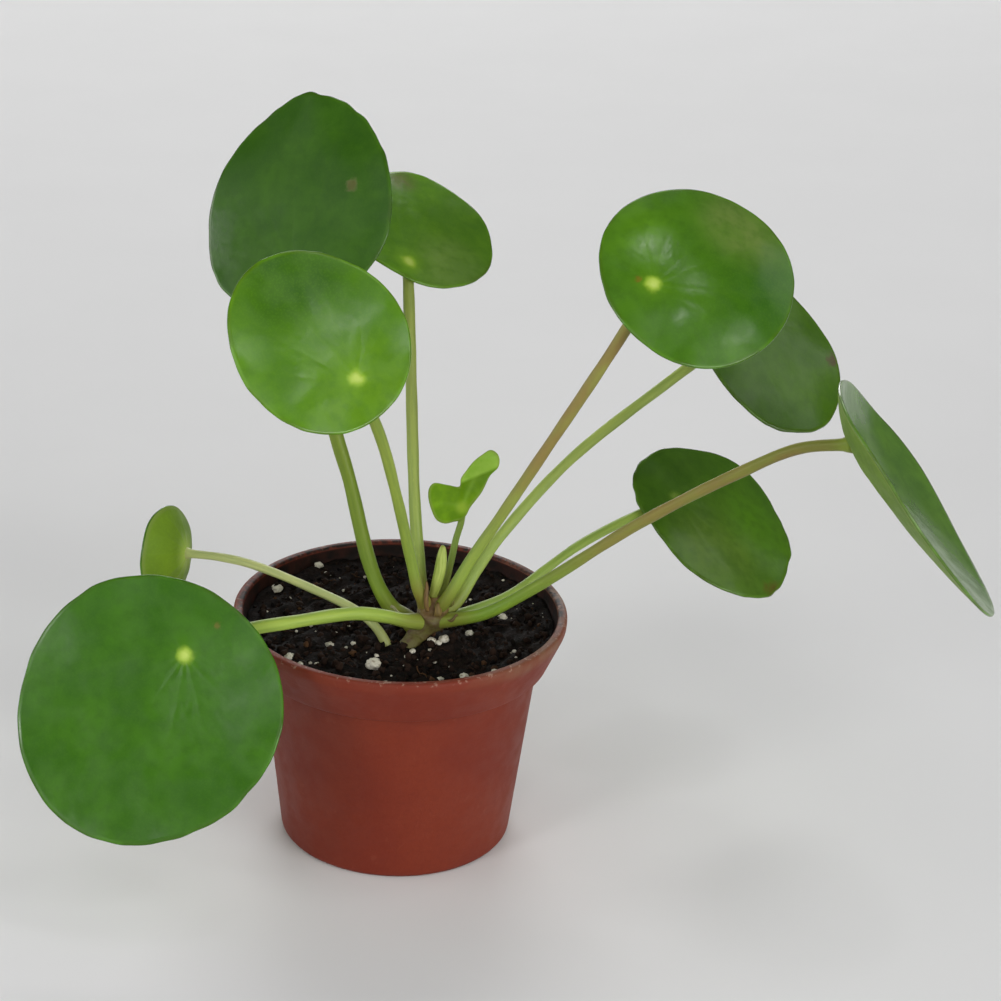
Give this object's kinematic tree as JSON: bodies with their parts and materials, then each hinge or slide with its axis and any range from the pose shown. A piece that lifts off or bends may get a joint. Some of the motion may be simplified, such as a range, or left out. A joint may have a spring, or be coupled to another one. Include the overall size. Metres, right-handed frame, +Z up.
{
  "type": "potted chinese money plant",
  "caption": "Chinese money plant: round leaves, each held near its middle by a long stalk, rising from a short stem in soil, in a small tapered plastic nursery pot.",
  "frame": {"origin": "centre of the pot's flat base, on the surface it stands on", "axes": "+Z up, -Y towards the front of the plant, +X to the right as seen from the front"},
  "size_m": [0.218, 0.1299, 0.1741],
  "materials": {
    "pot_plastic": "satin",
    "soil": "matte",
    "stem": "matte",
    "leaf_blade": "satin",
    "young_leaf": "satin",
    "leaf_stalk": "satin",
    "perlite": "matte"
  },
  "bodies": {
    "root": {"pot": "pot_plastic", "soil": "soil", "stem": "stem", "leaf_bud": "leaf_stalk", "leaf_1_blade": "leaf_blade", "leaf_1_stalk": "leaf_stalk", "leaf_2_blade": "leaf_blade", "leaf_2_stalk": "leaf_stalk", "leaf_3_blade": "leaf_blade", "leaf_3_stalk": "leaf_stalk", "leaf_4_blade": "leaf_blade", "leaf_4_stalk": "leaf_stalk", "leaf_5_blade": "leaf_blade", "leaf_5_stalk": "leaf_stalk", "leaf_6_blade": "leaf_blade", "leaf_6_stalk": "leaf_stalk", "leaf_7_blade": "leaf_blade", "leaf_7_stalk": "leaf_stalk", "leaf_8_blade": "leaf_blade", "leaf_8_stalk": "leaf_stalk", "leaf_9_blade": "leaf_blade", "leaf_9_stalk": "leaf_stalk", "leaf_10_blade": "young_leaf", "leaf_10_stalk": "leaf_stalk", "perlite_1": "perlite", "perlite_2": "perlite", "perlite_3": "perlite", "perlite_4": "perlite", "perlite_5": "perlite", "perlite_6": "perlite", "perlite_7": "perlite", "perlite_8": "perlite", "perlite_9": "perlite"}
  },
  "joints": []
}
